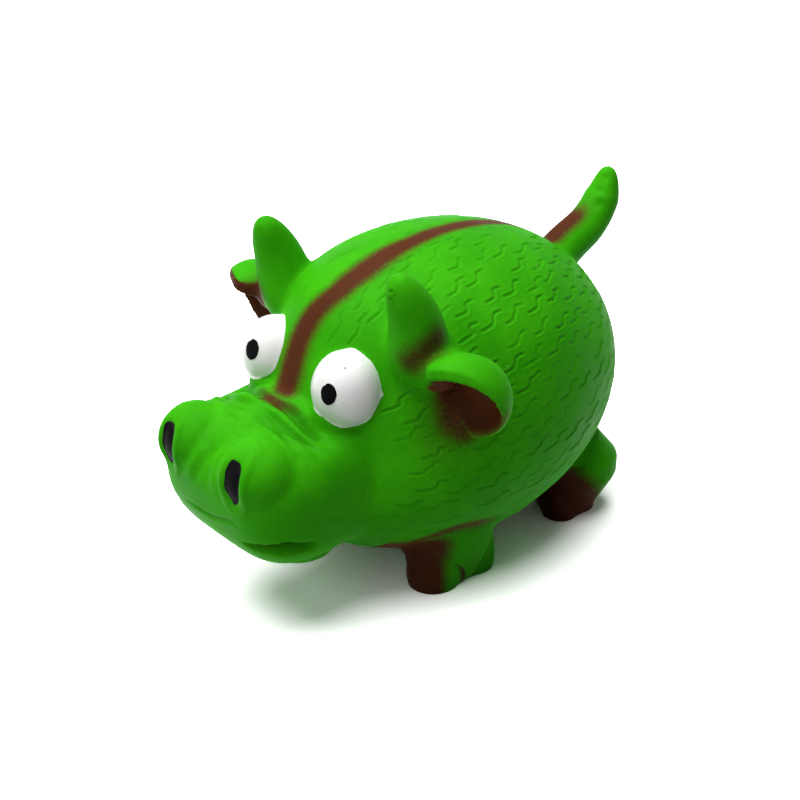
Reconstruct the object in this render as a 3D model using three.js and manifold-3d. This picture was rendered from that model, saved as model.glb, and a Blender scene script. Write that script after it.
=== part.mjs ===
// Squeaky latex dog toy shaped as a horned piglet. Millimetres, +Z up, nose towards -Y.
// The skin is one hollow latex moulding. It is divided here at its parting line and where each limb
// joins the body, so every form is a solid of its own, open to the body where the real one is open.
// The belly carries the squeaker: a plastic plug with a reed that beats when the toy is squeezed.
import * as THREE from "three";
import { mergeVertices } from "three/addons/utils/BufferGeometryUtils.js";
import Module from "manifold-3d";

const wasm = await Module();
wasm.setup();

// Fits
const clearance = 0.3;
const skinWall = 2.2;

// Body: an egg lying along Y, flattened at the front into a leaning face
const bodyLength = 125.5;
const bodyWidth = 91;
const bodyHeight = 92;
const bellyClearance = 3;
const bodyForward = 8.7;
const faceReach = 52;
const faceLeanDegrees = 26;
const faceRadius = 26;
const faceSoftness = 3;
const partingHeight = 47;

// Muzzle: a block with a flat snout, raked back towards the chin, and a round boss behind each nostril
const muzzleWidth = 54;
const muzzleLength = 58;
const muzzleHeight = 42;
const muzzleReach = 24.3;
const muzzleDrop = 9;
const muzzleFlatness = 4;
const muzzleSquareness = 2.5;
const snoutRake = 0.1;
const bridgeSlope = 0.1;
const bridgeRun = 15;
const bossDiameter = 20.6;
const bossSetBack = 9.8;
const bossSoftness = 1.2;
const nostrilSpacing = 28.5;
const nostrilRise = 11.5;
const nostrilWidth = 6.4;
const nostrilTall = 11.8;
const nostrilDepth = 1.2;
const padSink = 0.3;

// Lower lip
const lipWidth = 38;
const lipLength = 26;
const lipHeight = 17.4;
const lipSetBack = 13;
const lipRise = 4.6;

// Eyes: white domes with raised black pupils
const eyeWidth = 18.4;
const eyeTall = 20.6;
const eyeTurnDegrees = 19.5;
const eyeRiseDegrees = 20.6;
const eyeSink = 1.5;
const leftGazeDegrees = 18;
const rightGazeDegrees = -3;
const gazeRiseDegrees = 20;
const pupilWidth = 5.4;
const pupilTall = 6.2;
const pupilThickness = 0.6;

// Horns
const hornDiameter = 19.8;
const hornTipDiameter = 8;
const hornHeight = 23;
const hornTaper = 1.5;
const hornTurnDegrees = 44;
const hornRiseDegrees = 35.5;
const hornForwardLean = 8.2;
const leftHornInwardLean = 0.5;
const rightHornInwardLean = -1.7;
const hornBow = 1;

// Ears: deep cups that stand out sideways, thick above and thin below, open to the front
const earLength = 27;
const earWidth = 28;
const earDepth = 12.5;
const earWall = 3.2;
const earRim = 3.5;
const earRoofDrop = 8.7;
const earShift = 5.8;
const earOpening = 0.34;
const earFallBack = 8;
const earReach = 11;
const earForward = 3;
const earTaper = 0.3;
const leftEarLift = 1.2;
const rightEarLift = -2;
const earTurnDegrees = 50;
const earRiseDegrees = 23.5;
const earUpTiltDegrees = 10;
const earBackTiltDegrees = -2;
const earFaceDropDegrees = 32;

// Legs: short stumps, wider upwards, with two toes on the outer side
const frontTrack = 41.6;
const frontLegPlace = -21;
const frontLegDiameter = 28.4;
const frontHoofDiameter = 20.4;
const frontSoleDiameter = 17.6;
const frontLegHeight = 26;
const frontLegLean = 0;
const frontToeWidth = 15.2;
const frontToeHeight = 17;
const frontToeSpread = 14.3;
const frontToeOut = 2.8;
const frontToeBack = 0.2;
const rearTrack = 39;
const rearLegPlace = 31;
const rearLegDiameter = 27.2;
const rearHoofDiameter = 18.4;
const rearSoleDiameter = 15.2;
const rearLegHeight = 25;
const rearLegLean = 2.4;
const rearToeWidth = 11.6;
const rearToeHeight = 14;
const rearToeSpread = 7.5;
const rearToeOut = 2.7;
const rearToeBack = -1.2;
const hoofHeight = 2.5;
const soleThickness = 2.6;

// Tail
const tailRiseDegrees = 26.5;
const tailRootRiseDegrees = 23;
const tailCurlDegrees = 42;
const tailBaseDiameter = 13.4;
const tailThinDiameter = 10;
const tailTuftDiameter = 10.6;
const tailLength = 33;

// Flank marks: wave-shaped grooves in rows, each row with its own shift along the body
const markLength = 8.2;
const markRise = 2.8;
const markWidth = 0.9;
const markDepth = 0.7;
const markPitch = 16.8;
const markCount = 4;
const markShifts = [3.9, 0.6, 1.8, 3];
const markFirstTurnDegrees = 30;
const markRowTurnDegrees = 16;

// Squeaker plug, on an upright axis under the middle of the body
const seatDepth = 0.9;
const flangeDiameter = 18;
const flangeThickness = 1.3;
const neckDiameter = 13;
const collarDiameter = 22;
const collarThickness = 3;
const barrelDiameter = 14.6;
const barrelHeight = 15.5;
const barrelWall = 1.5;
const plugFloor = 1;
const soundHoleDiameter = 4.4;
const holderHeight = 3;
const channelDiameter = 6.6;
const channelWall = 1;
const channelHeight = 9;
const reedWidth = 5.4;
const reedThickness = 0.3;
const reedLiftDegrees = 3;
const clampHeight = 2.6;
const capThickness = 1.2;
const capWall = 1;
const capSkirt = 3;
const capHoleDiameter = 2.2;
const capHoleCount = 6;

// Fibre filling round the squeaker
const fillingGap = 1.4;
const fillingPocket = 1;

const { clamp, degToRad, smoothstep, lerp } = THREE.MathUtils;

// Finishes
const finish = (color, roughness) => new THREE.MeshStandardMaterial({ color, roughness, metalness: 0 });
const greenLatex = finish(0x3aa51a, 0.6);
const whitePaint = finish(0xf2f2ee, 0.35);
const blackPaint = finish(0x141216, 0.3);
const fibre = finish(0xf4f4f0, 0.95);
const plugPlastic = finish(0xe6e4da, 0.45);
const reedPlastic = finish(0xd8c48a, 0.35);

// A closed three.js geometry as a solid that can be joined and cut.
function solidOf(geometry) {
  const bare = geometry.clone();
  bare.deleteAttribute("normal");
  bare.deleteAttribute("uv");
  const merged = mergeVertices(bare, 1e-4);
  const corners = [];
  const index = merged.index.array;
  for (let i = 0; i < index.length; i += 3) {
    const [a, b, c] = index.subarray(i, i + 3);
    if (a !== b && b !== c && c !== a) corners.push(a, b, c);
  }
  const vertProperties = new Float32Array(merged.attributes.position.array);
  return new wasm.Manifold(new wasm.Mesh({ numProp: 3, vertProperties, triVerts: new Uint32Array(corners) }));
}

function geometryOf(solid) {
  const mesh = solid.getMesh();
  const geometry = new THREE.BufferGeometry();
  geometry.setAttribute("position", new THREE.BufferAttribute(mesh.vertProperties, 3));
  geometry.setIndex(new THREE.BufferAttribute(mesh.triVerts, 1));
  geometry.computeVertexNormals();
  return geometry;
}

// A sphere whose points are moved to the surface that shape() gives for each direction.
function formed(around, upright, shape) {
  const ball = new THREE.SphereGeometry(1, around, upright);
  const points = ball.attributes.position;
  const direction = new THREE.Vector3();
  for (let i = 0; i < points.count; i++) {
    direction.fromBufferAttribute(points, i).normalize();
    points.setXYZ(i, ...shape(direction));
  }
  return solidOf(ball);
}

// A turned solid about Z, from [radius, height] corners that start and end on the axis. Its middle may
// lean along Y as it rises.
function turned(profile, segments = 32, lean = () => 0) {
  const lathe = new THREE.LatheGeometry(profile.map(([r, h]) => new THREE.Vector2(r, h)), segments);
  lathe.rotateX(Math.PI / 2);
  const points = lathe.attributes.position;
  for (let i = 0; i < points.count; i++) points.setY(i, points.getY(i) + lean(points.getZ(i)));
  return solidOf(lathe);
}

const pillar = (radius, low, high, segments = 32) =>
  turned([[0, low], [radius, low], [radius, high], [0, high]], segments);

const block = (width, depth, low, high) =>
  solidOf(new THREE.BoxGeometry(width, depth, high - low).translate(0, 0, (low + high) / 2));

// A round limb along a curve, with its radius given by its share of the way along. Its rings close up
// towards the tip.
function limb(curve, radiusAt, around, steps) {
  const rings = new THREE.LatheGeometry(
    Array.from({ length: steps + 1 }, (_, i) => new THREE.Vector2(i === 0 || i === steps ? 0 : 1, i)),
    around,
  );
  const points = rings.attributes.position;
  const side = new THREE.Vector3(1, 0, 0);
  for (let i = 0; i < points.count; i++) {
    const share = 1 - (1 - points.getY(i) / steps) ** 1.5;
    const along = curve.getTangentAt(share);
    const across = new THREE.Vector3().crossVectors(side, along).normalize();
    const p = curve.getPointAt(share);
    const radius = radiusAt(share);
    p.addScaledVector(side, points.getX(i) * radius);
    p.addScaledVector(across, points.getZ(i) * radius);
    points.setXYZ(i, p.x, p.y, p.z);
  }
  return solidOf(rings);
}

// Direction from its turn away from the nose, towards the left, and its rise, in degrees.
function towards(turn, rise) {
  const flat = Math.cos(degToRad(rise));
  return new THREE.Vector3(
    flat * Math.sin(degToRad(turn)),
    -flat * Math.cos(degToRad(turn)),
    Math.sin(degToRad(rise)),
  );
}

const mirrored = (solid) => solid.mirror([1, 0, 0]);

// The main body of a solid, without crumbs that a cut leaves.
const whole = (solid) => solid.decompose().sort((a, b) => b.volume() - a.volume())[0];

// Body
const bodyCentre = new THREE.Vector3(0, -bodyForward, bellyClearance + bodyHeight / 2);
const faceNormal = towards(0, faceLeanDegrees);

// How far a point, from the body's centre, lies outside the body whose skin is set in by inset.
function outsideBody(p, inset) {
  const share = Math.hypot(
    p.x / (bodyWidth / 2 - inset),
    p.y / (bodyLength / 2 - inset),
    p.z / (bodyHeight / 2 - inset),
  );
  const egg = p.length() * (1 - 1 / share);
  const face = p.dot(faceNormal) - faceReach + inset + p.x ** 2 / (2 * faceRadius);
  const apart = Math.abs(egg - face) / faceSoftness;
  return Math.max(egg, face) + faceSoftness * Math.log1p(Math.exp(-apart));
}

// The body's surface in a direction from its centre, found by halving.
function bodyPoint(direction, inset) {
  let near = 0.1;
  let far = bodyLength;
  for (let i = 0; i < 40; i++) {
    const middle = (near + far) / 2;
    const p = direction.clone().multiplyScalar(middle);
    if (outsideBody(p, inset) > 0) far = middle;
    else near = middle;
  }
  return direction.clone().multiplyScalar(near).add(bodyCentre);
}

const bodyForm = (inset, around, upright) =>
  formed(around, upright, (direction) => bodyPoint(direction, inset));
const bodyOuter = bodyForm(0, 40, 24);
const bodyInner = bodyForm(skinWall, 28, 16);
const bodyGrown = bodyForm(-clearance, 40, 24);

// Muzzle
const muzzleFront = bodyPoint(towards(0, 0), 0).y - muzzleReach;
const muzzleCentre = new THREE.Vector3(0, muzzleFront + muzzleLength / 2, bodyCentre.z - muzzleDrop);
const nostrilCentre = new THREE.Vector3(nostrilSpacing / 2, muzzleFront, muzzleCentre.z + nostrilRise);

function muzzlePoint(direction, inset) {
  const level = Math.abs(direction.x) ** muzzleFlatness + Math.abs(direction.y) ** muzzleFlatness;
  const upright = Math.abs(direction.z) ** muzzleSquareness;
  const reach = (level ** (muzzleSquareness / muzzleFlatness) + upright) ** (-1 / muzzleSquareness);
  const p = new THREE.Vector3(muzzleWidth / 2 - inset, muzzleLength / 2 - inset, muzzleHeight / 2 - inset)
    .multiply(direction)
    .multiplyScalar(reach)
    .add(muzzleCentre);
  p.y += snoutRake * (nostrilCentre.z - p.z) * smoothstep(-direction.y, 0, 0.8);
  const bridge = clamp(p.y - muzzleFront - bridgeRun, -0.4 * bridgeRun, bridgeRun);
  p.z += bridgeSlope * bridge * smoothstep(direction.z, 0, 0.7);
  return p;
}

// How far from the muzzle's centre a line in a direction leaves the boss on its side. A line that passes
// beside the boss leaves it ever nearer to the centre.
function bossReach(direction, inset) {
  const boss = nostrilCentre.clone().setY(muzzleFront + bossSetBack).sub(muzzleCentre);
  boss.x *= Math.sign(direction.x) || 1;
  const along = boss.dot(direction);
  const radius = bossDiameter / 2 - inset;
  const aside = Math.sqrt(boss.lengthSq() - along ** 2);
  return aside < radius ? along + Math.sqrt(radius ** 2 - aside ** 2) : along - 2 * (aside - radius);
}

// The block and its bosses, with a soft valley where they meet.
function snoutPoint(direction, inset) {
  const p = muzzlePoint(direction, inset).sub(muzzleCentre);
  const block = p.length();
  p.normalize();
  const boss = bossReach(p, inset);
  const valley = Math.log1p(Math.exp(-Math.abs(block - boss) / bossSoftness));
  return p.multiplyScalar(Math.max(block, boss) + bossSoftness * valley).add(muzzleCentre);
}

const muzzleForm = (inset, around, upright) =>
  formed(around, upright, (direction) => snoutPoint(direction, inset));
const muzzleOuter = muzzleForm(0, 36, 22);
const muzzleInner = muzzleForm(skinWall, 20, 12);
const muzzleGrown = muzzleForm(-clearance, 36, 22);

const toy = new THREE.Group();
function place(name, solid, material) {
  const mesh = new THREE.Mesh(geometryOf(solid), material);
  mesh.name = name;
  toy.add(mesh);
}

function placePair(name, solid, material) {
  place("left_" + name, solid, material);
  place("right_" + name, mirrored(solid), material);
}

// Nostrils: an oval recess in each boss, with a black pad on its floor
const nostrilOval = (inset) => {
  const oval = new THREE.CylinderGeometry(1, 1, 40, 24);
  oval.scale(nostrilWidth / 2 - inset, 1, nostrilTall / 2 - inset);
  return solidOf(oval.translate(nostrilCentre.x, nostrilCentre.y, nostrilCentre.z));
};
const nostrilFloor = muzzleForm(nostrilDepth, 36, 22);
const nostrilTop = muzzleForm(padSink, 36, 22);
const nostrilBase = muzzleForm(nostrilDepth - clearance, 36, 22);
const recess = nostrilOval(0).subtract(nostrilFloor);
const pad = nostrilOval(clearance).intersect(nostrilTop).subtract(nostrilBase);
const frontHalf = block(200, 200, 0, 200).translate([0, muzzleCentre.y - 100, 0]);

// Horns: bent cones, hollow and open to the body. The right one leans out more than the left one.
const hornSeat = bodyPoint(towards(hornTurnDegrees, hornRiseDegrees), 0);
const hornFoot = hornSeat.clone().lerp(bodyCentre, 0.2);
const roundedEnd = (share) => Math.sqrt(Math.max(0, 1 - share ** 10));
const hornRadius = (share) => lerp(hornDiameter, hornTipDiameter, share ** hornTaper) / 2;
function horn(inwardLean) {
  const tip = hornSeat.clone().add(new THREE.Vector3(-inwardLean, -hornForwardLean, hornHeight));
  const bend = hornSeat.clone().lerp(tip, 0.5);
  bend.x += hornBow;
  bend.y += hornBow;
  const curve = new THREE.CatmullRomCurve3([hornFoot, hornSeat, bend, tip]);
  const form = (grow, around) =>
    limb(curve, (share) => Math.max(0.2, hornRadius(share) * roundedEnd(share) + grow), around, 12);
  return { outer: form(0, 14), hollow: form(-skinWall, 10), grown: form(clearance, 14) };
}
const leftHorn = horn(leftHornInwardLean);
const rightHorn = horn(rightHornInwardLean);
const hornSolid = ({ outer, hollow }) => outer.subtract(hollow).subtract(bodyGrown);

// Ears: the hollow is set down and out in the cup, so the roof is thick and the lower edge thin. Towards the
// head, the cup narrows and falls back into it. The left ear sits higher than the right one.
const earAlong = towards(90 + earBackTiltDegrees, earUpTiltDegrees);
const earUp = new THREE.Vector3().crossVectors(towards(0, -earFaceDropDegrees), earAlong).normalize();
const earFacing = new THREE.Vector3().crossVectors(earAlong, earUp);
const earLean = earAlong.clone().addScaledVector(earFacing, -earOpening);
const earDown = earUp.clone().negate();
const earRoot = bodyPoint(towards(earTurnDegrees, earRiseDegrees), 0);
earRoot.addScaledVector(earAlong, earReach).addScaledVector(earFacing, earForward);
function ear(lift, hornGrown) {
  const seat = earRoot.clone().add(new THREE.Vector3(0, 0, lift));
  const basis = new THREE.Matrix4().makeBasis(earLean, earFacing, earDown).setPosition(seat);
  const cup = (direction, share, back, front) => {
    const set = 1 - share;
    const p = new THREE.Vector3(share * earLength / 2, direction.y < 0 ? back : front, share * earWidth / 2);
    p.multiply(direction);
    p.x += earShift * set;
    p.z += earRoofDrop * set;
    const headwards = -2 * p.x / earLength;
    p.y -= earFallBack * smoothstep(headwards, 0.1, 0.9);
    p.z *= 1 - earTaper * smoothstep(headwards, 0, 1);
    return p.applyMatrix4(basis);
  };
  const leaf = formed(22, 12, (d) => cup(d, 1, earDepth, earRim));
  const scoop = formed(18, 10, (d) => cup(d, 1 - 2 * earWall / earWidth, earDepth - earWall, earDepth));
  return whole(leaf.subtract(scoop).subtract(bodyGrown).subtract(hornGrown));
}

// Legs: a stump that rises into the body, hollow above its sole, and two toes joined to it
const underground = block(300, 300, -60, 0);
function leg({ sole, hoof, thick, height, lean, track, along, toes }) {
  const leaning = (level) => lean * smoothstep(level, 0, height / 2);
  const rise = (set, top) => [
    [0.965 * thick / 2 - set, 0.5 * height],
    [thick / 2 - set, 0.75 * height],
    [0.75 * thick / 2 - set, height - set],
    [0.45 * thick / 2 - set, top],
    [0, top],
  ];
  const top = 1.15 * height;
  let outer = turned([[0, 0], [sole / 2, 0], [hoof / 2, hoofHeight], ...rise(0, top)], 20, leaning);
  const floor = [[0, soleThickness], [hoof / 2 - skinWall, soleThickness]];
  const hollow = turned([...floor, ...rise(skinWall, top - skinWall)], 16, leaning);
  for (const end of [-1, 1]) {
    const toe = formed(14, 8, (d) => new THREE.Vector3(
      toes.out + d.x * toes.width / 2,
      toes.back + end * toes.spread / 2 + d.y * toes.width / 2,
      toes.lift + d.z * (toes.height - toes.lift),
    ));
    outer = outer.add(toe);
  }
  const moved = (solid) => solid.translate([track / 2, along, 0]);
  return { outer: moved(outer.subtract(underground)), hollow: moved(hollow) };
}
const frontLeg = leg({
  sole: frontSoleDiameter,
  hoof: frontHoofDiameter,
  thick: frontLegDiameter,
  height: frontLegHeight,
  lean: frontLegLean,
  track: frontTrack,
  along: frontLegPlace,
  toes: {
    width: frontToeWidth,
    height: frontToeHeight,
    lift: frontToeHeight / 4,
    spread: frontToeSpread,
    out: frontToeOut,
    back: frontToeBack,
  },
});
const rearLeg = leg({
  sole: rearSoleDiameter,
  hoof: rearHoofDiameter,
  thick: rearLegDiameter,
  height: rearLegHeight,
  lean: rearLegLean,
  track: rearTrack,
  along: rearLegPlace,
  toes: {
    width: rearToeWidth,
    height: rearToeHeight,
    lift: rearToeHeight / 4,
    spread: rearToeSpread,
    out: rearToeOut,
    back: rearToeBack,
  },
});
const legSolid = ({ outer, hollow }) => whole(outer.subtract(hollow).subtract(bodyGrown));

// Tail: thin at its root, swelling to a pointed tuft, curled upwards
const tailSeat = bodyPoint(towards(180, tailRiseDegrees), 0);
const tailStep = (turn, share) => towards(180, turn).multiplyScalar(tailLength * share);
const tailFoot = tailSeat.clone().sub(tailStep(tailRootRiseDegrees, 0.3));
const tailMiddle = tailSeat.clone().add(tailStep(tailRootRiseDegrees, 0.45));
const tailTip = tailMiddle.clone().add(tailStep(tailRootRiseDegrees + tailCurlDegrees, 0.55));
const tailCurve = new THREE.CatmullRomCurve3([tailFoot, tailSeat, tailMiddle, tailTip]);
const tailRadius = (share) => {
  const taper = lerp(tailBaseDiameter, tailThinDiameter, smoothstep(share, 0.2, 0.5)) / 2;
  const tuft = ((tailTuftDiameter - tailThinDiameter) / 2) * smoothstep(share, 0.5, 0.72);
  return Math.max(0.2, (taper + tuft) * (1 - smoothstep(share, 0.78, 1.1)));
};
const tail = limb(tailCurve, tailRadius, 14, 14).subtract(bodyGrown);

// Eyes and pupils
const eyeSeat = bodyPoint(towards(eyeTurnDegrees, eyeRiseDegrees), eyeSink);
const eyeForm = (grow, around, upright) =>
  formed(around, upright, (d) =>
    new THREE.Vector3(eyeWidth / 2 + grow, eyeWidth / 2 + grow, eyeTall / 2 + grow).multiply(d).add(eyeSeat),
  );
const hornsGrown = leftHorn.grown.add(rightHorn.grown);
const eye = eyeForm(0, 22, 14).subtract(bodyGrown).subtract(muzzleGrown).subtract(hornsGrown);
const pupilShell = eyeForm(clearance + pupilThickness, 18, 12).subtract(eyeForm(clearance, 18, 12));
function pupil(turn) {
  const stick = new THREE.CylinderGeometry(1, 1, eyeWidth, 20).scale(pupilWidth / 2, 1, pupilTall / 2);
  stick.translate(0, -eyeWidth / 2, 0);
  stick.rotateX(-degToRad(gazeRiseDegrees)).rotateZ(degToRad(turn));
  stick.translate(eyeSeat.x, eyeSeat.y, eyeSeat.z);
  return pupilShell.intersect(solidOf(stick)).subtract(bodyGrown).subtract(muzzleGrown);
}

// Lower lip, under the front of the muzzle
const lipLevel = muzzleCentre.z - muzzleHeight / 2 + lipRise;
const lipCentre = new THREE.Vector3(0, muzzleFront + lipLength / 2 + lipSetBack, lipLevel);
const lip = formed(22, 12, (d) =>
  new THREE.Vector3(lipWidth / 2, lipLength / 2, lipHeight / 2).multiply(d).add(lipCentre),
);

// Squeaker plug: levels from the flange up
const seatLevel = bellyClearance + seatDepth;
const flangeTop = seatLevel - clearance;
const flangeLow = flangeTop - flangeThickness;
const collarTop = seatLevel + collarThickness;
const barrelLow = collarTop + clearance;
const barrelTop = barrelLow + barrelHeight;
const boreFloor = barrelLow + plugFloor;
const holderLow = boreFloor + clearance;
const holderTop = holderLow + holderHeight;
const channelTop = holderTop + channelHeight;
const clampLow = holderTop + clearance;
const clampTop = clampLow + clampHeight;
const capLow = barrelTop + clearance;
const capTop = capLow + capThickness;
const plugAlong = bodyCentre.y;
const boreRadius = barrelDiameter / 2 - barrelWall;
const capRadius = barrelDiameter / 2 + clearance + capWall;
const atPlug = (solid) => solid.translate([0, plugAlong, 0]);

const plug = turned([
  [soundHoleDiameter / 2, flangeLow],
  [flangeDiameter / 2, flangeLow],
  [flangeDiameter / 2, flangeTop],
  [neckDiameter / 2, flangeTop],
  [neckDiameter / 2, barrelLow],
  [barrelDiameter / 2, barrelLow],
  [barrelDiameter / 2, barrelTop],
  [boreRadius, barrelTop],
  [boreRadius, boreFloor],
  [soundHoleDiameter / 2, boreFloor],
  [soundHoleDiameter / 2, flangeLow],
], 28);

// Reed holder: a disc in the bore with a half-round channel standing on it, open on its flat side
const behind = block(60, 60, 0, 60).translate([0, 30, 0]);
const ahead = (gap) => block(60, 60, 0, 60).translate([0, -30 - gap, 0]);
const channelRadius = channelDiameter / 2;
const ductRadius = channelRadius - channelWall;
const duct = pillar(ductRadius, holderLow - 1, channelTop - channelWall, 24).intersect(behind);
const channel = pillar(channelRadius, holderTop - 1, channelTop, 24).intersect(behind);
const holder = pillar(boreRadius - clearance, holderLow, holderTop, 32).add(channel).subtract(duct);

// Reed: its root stands between the channel and the wedge, its tongue leans away from the channel
const tongueTop = channelTop - clearance;
const tongueLean = (tongueTop - clampTop) * Math.tan(degToRad(reedLiftDegrees));
const reedShape = new THREE.Shape([
  new THREE.Vector2(-clearance, clampLow),
  new THREE.Vector2(-clearance, clampTop),
  new THREE.Vector2(-clearance - tongueLean, tongueTop),
  new THREE.Vector2(-clearance - tongueLean - reedThickness, tongueTop),
  new THREE.Vector2(-clearance - reedThickness, clampTop),
  new THREE.Vector2(-clearance - reedThickness, clampLow),
]);
const reedGeometry = new THREE.ExtrudeGeometry(reedShape, { depth: reedWidth, bevelEnabled: false });
reedGeometry.translate(0, 0, -reedWidth / 2);
reedGeometry.applyMatrix4(new THREE.Matrix4().makeBasis(
  new THREE.Vector3(0, 1, 0),
  new THREE.Vector3(0, 0, 1),
  new THREE.Vector3(1, 0, 0),
));
const wedge = pillar(channelRadius, clampLow, clampTop, 24).intersect(ahead(2 * clearance + reedThickness));

// Perforated cap over the barrel
const capShell = turned([
  [0, capLow],
  [barrelDiameter / 2 + clearance, capLow],
  [barrelDiameter / 2 + clearance, capLow - capSkirt],
  [capRadius, capLow - capSkirt],
  [capRadius, capTop],
  [0, capTop],
], 28);
let cap = capShell.subtract(pillar(capHoleDiameter / 2, capLow - 1, capTop + 1, 8));
for (let i = 0; i < capHoleCount; i++) {
  const turn = (2 * Math.PI * i) / capHoleCount;
  const ring = boreRadius * 0.68;
  const hole = pillar(capHoleDiameter / 2, capLow - 1, capTop + 1, 8);
  cap = cap.subtract(hole.translate([ring * Math.cos(turn), ring * Math.sin(turn), 0]));
}

// Flank marks: each is flat, then rises, then is flat again
const markWave = [[-0.5, -0.42], [-0.14, -0.5], [0.03, 0], [0.18, 0.5], [0.5, 0.42]];
function flankMark(along, turn) {
  const back = (along - bodyCentre.y) / (bodyLength / 2);
  const round = Math.sqrt(1 - back ** 2);
  const tilt = degToRad(turn);
  const out = new THREE.Vector3(Math.sin(tilt) * round, back, Math.cos(tilt) * round);
  const half = new THREE.Vector3(bodyWidth / 2, bodyLength / 2, bodyHeight / 2);
  const seat = bodyPoint(out.clone().multiply(half).normalize(), markDepth);
  const normal = out.divide(half).normalize();
  const upward = new THREE.Vector3().crossVectors(normal, new THREE.Vector3(0, 1, 0)).normalize();
  const backward = new THREE.Vector3().crossVectors(upward, normal);
  const line = markWave.map(([a, b]) => new THREE.Vector2(a * markLength, b * markRise));
  const edge = (side) => line.map((p, i) => {
    const ahead = line[Math.min(i + 1, line.length - 1)];
    const run = ahead.clone().sub(line[Math.max(i - 1, 0)]).normalize();
    return new THREE.Vector2(p.x - run.y * side * markWidth / 2, p.y + run.x * side * markWidth / 2);
  });
  const ribbon = new THREE.Shape([...edge(-1), ...edge(1).reverse()]);
  const cutter = new THREE.ExtrudeGeometry(ribbon, { depth: 3 * markDepth, bevelEnabled: false });
  const place = new THREE.Matrix4().makeBasis(backward, upward, normal).setPosition(seat);
  return solidOf(cutter.applyMatrix4(place));
}
let flankMarks = null;
for (const [row, shift] of markShifts.entries()) {
  for (let i = 0; i < markCount; i++) {
    const along = shift + markPitch * (i - 1);
    const mark = flankMark(along, markFirstTurnDegrees + markRowTurnDegrees * row);
    flankMarks = flankMarks ? flankMarks.add(mark) : mark;
  }
}

// Hollow skin, with a thick collar round the squeaker hole on a flat seat
const collar = atPlug(pillar(collarDiameter / 2, seatLevel, collarTop, 28));
const plugHole = atPlug(pillar(neckDiameter / 2 + clearance, 0, collarTop + 1, 28));
const belowSeat = block(300, 300, -1, seatLevel);
const hollows = [muzzleInner, leftHorn.hollow, mirrored(rightHorn.hollow)];
const legHollows = [frontLeg, rearLeg].flatMap(({ hollow }) => [hollow, mirrored(hollow)]);
let skin = bodyOuter.subtract(bodyInner).add(collar).subtract(plugHole).subtract(belowSeat);
skin = skin.subtract(flankMarks).subtract(mirrored(flankMarks));
for (const hollow of [...hollows, ...legHollows]) skin = skin.subtract(hollow);
const lowerPart = block(300, 300, -1, partingHeight - clearance / 2);
const upperPart = block(300, 300, partingHeight + clearance / 2, 300);

place("belly_skin", whole(skin.intersect(lowerPart)), greenLatex);
place("back_skin", whole(skin.intersect(upperPart)), greenLatex);
let snout = muzzleOuter.subtract(muzzleInner).subtract(bodyGrown);
snout = snout.subtract(recess.intersect(frontHalf)).subtract(mirrored(recess).intersect(frontHalf));
place("muzzle", whole(snout), greenLatex);
place("lower_lip", whole(lip.subtract(bodyGrown).subtract(muzzleGrown)), greenLatex);
placePair("nostril", pad.intersect(frontHalf), blackPaint);
placePair("eye", eye, whitePaint);
place("left_pupil", pupil(leftGazeDegrees), blackPaint);
place("right_pupil", mirrored(pupil(rightGazeDegrees)), blackPaint);
place("left_horn", hornSolid(leftHorn), greenLatex);
place("right_horn", mirrored(hornSolid(rightHorn)), greenLatex);
place("left_ear", ear(leftEarLift, leftHorn.grown), greenLatex);
place("right_ear", mirrored(ear(rightEarLift, rightHorn.grown)), greenLatex);
placePair("front_leg", legSolid(frontLeg), greenLatex);
placePair("rear_leg", legSolid(rearLeg), greenLatex);
place("tail", tail, greenLatex);

const pocket = atPlug(pillar(capRadius + fillingPocket, 0, capTop + fillingPocket, 28));
const collarPocket = atPlug(pillar(collarDiameter / 2 + clearance, 0, collarTop + clearance, 28));
const filling = bodyForm(skinWall + fillingGap, 24, 14).subtract(pocket).subtract(collarPocket);
place("fibre_filling", filling, fibre);
place("squeaker_plug", atPlug(plug), plugPlastic);
place("reed_holder", atPlug(holder), plugPlastic);
place("reed", atPlug(solidOf(reedGeometry)), reedPlastic);
place("reed_wedge", atPlug(wedge), plugPlastic);
place("squeaker_cap", atPlug(cap), plugPlastic);

// Origin: the middle of the underside of the whole toy
const bounds = new THREE.Box3().setFromObject(toy);
const middle = bounds.getCenter(new THREE.Vector3());
for (const mesh of toy.children) mesh.geometry.translate(-middle.x, -middle.y, -bounds.min.z);

export default toy;
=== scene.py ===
import math

import bmesh
import bpy
import numpy as np
from mathutils import Matrix, Vector
from mathutils.bvhtree import BVHTree


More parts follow.
